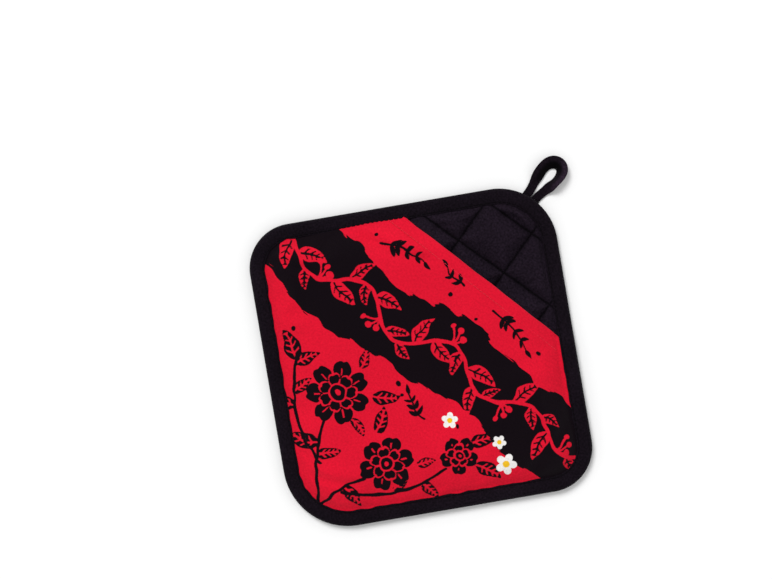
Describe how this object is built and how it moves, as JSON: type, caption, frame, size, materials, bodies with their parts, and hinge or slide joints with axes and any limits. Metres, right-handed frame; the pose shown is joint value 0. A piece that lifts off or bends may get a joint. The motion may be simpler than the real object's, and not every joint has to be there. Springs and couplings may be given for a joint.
{
  "type": "pocket pot holder",
  "caption": "Square quilted cotton pot holder with a padded hand pocket across its front, a bound edge and a folding tape loop at one corner for hanging.",
  "frame": {"origin": "centre of the square pad, in the plane of its back face, on which it rests", "axes": "+Z out through the pocket face, +Y along the diagonal from the centre towards the hanging loop, +X to the right seen from the front"},
  "size_m": [0.2588, 0.2815, 0.0142],
  "materials": {
    "stripe_print": "matt printed cotton, red stripes on black",
    "pocket_print": "matt printed cotton, red with black motifs",
    "black_cotton": "matt plain-weave cotton",
    "black_tape": "matt bias-cut cotton tape",
    "wadding": "loose needled fibre",
    "black_thread": "twisted cotton thread",
    "red_thread": "twisted cotton thread"
  },
  "bodies": {
    "pad": {"back_cover": "stripe_print", "back_wadding": "wadding", "back_lining": "black_cotton", "pocket_lining": "black_cotton", "pocket_wadding": "wadding", "pocket_cover": "pocket_print", "edge_binding": "black_tape", "loop_tab": "black_tape", "quilting_thread_front": "black_thread", "quilting_thread_back": "black_thread", "binding_thread_front": "black_thread", "binding_thread_back": "black_thread", "mouth_thread": "red_thread", "loop_thread": "black_thread"},
    "loop": {"hanging_loop": "black_tape"}
  },
  "joints": [
    {"name": "loop_fold", "type": "hinge", "parent": "pad", "child": "loop", "pos_m": [-0.0018, 0.12718, 0.0008], "axis": [1, 0, 0], "range_deg": [-90, 90]}
  ]
}
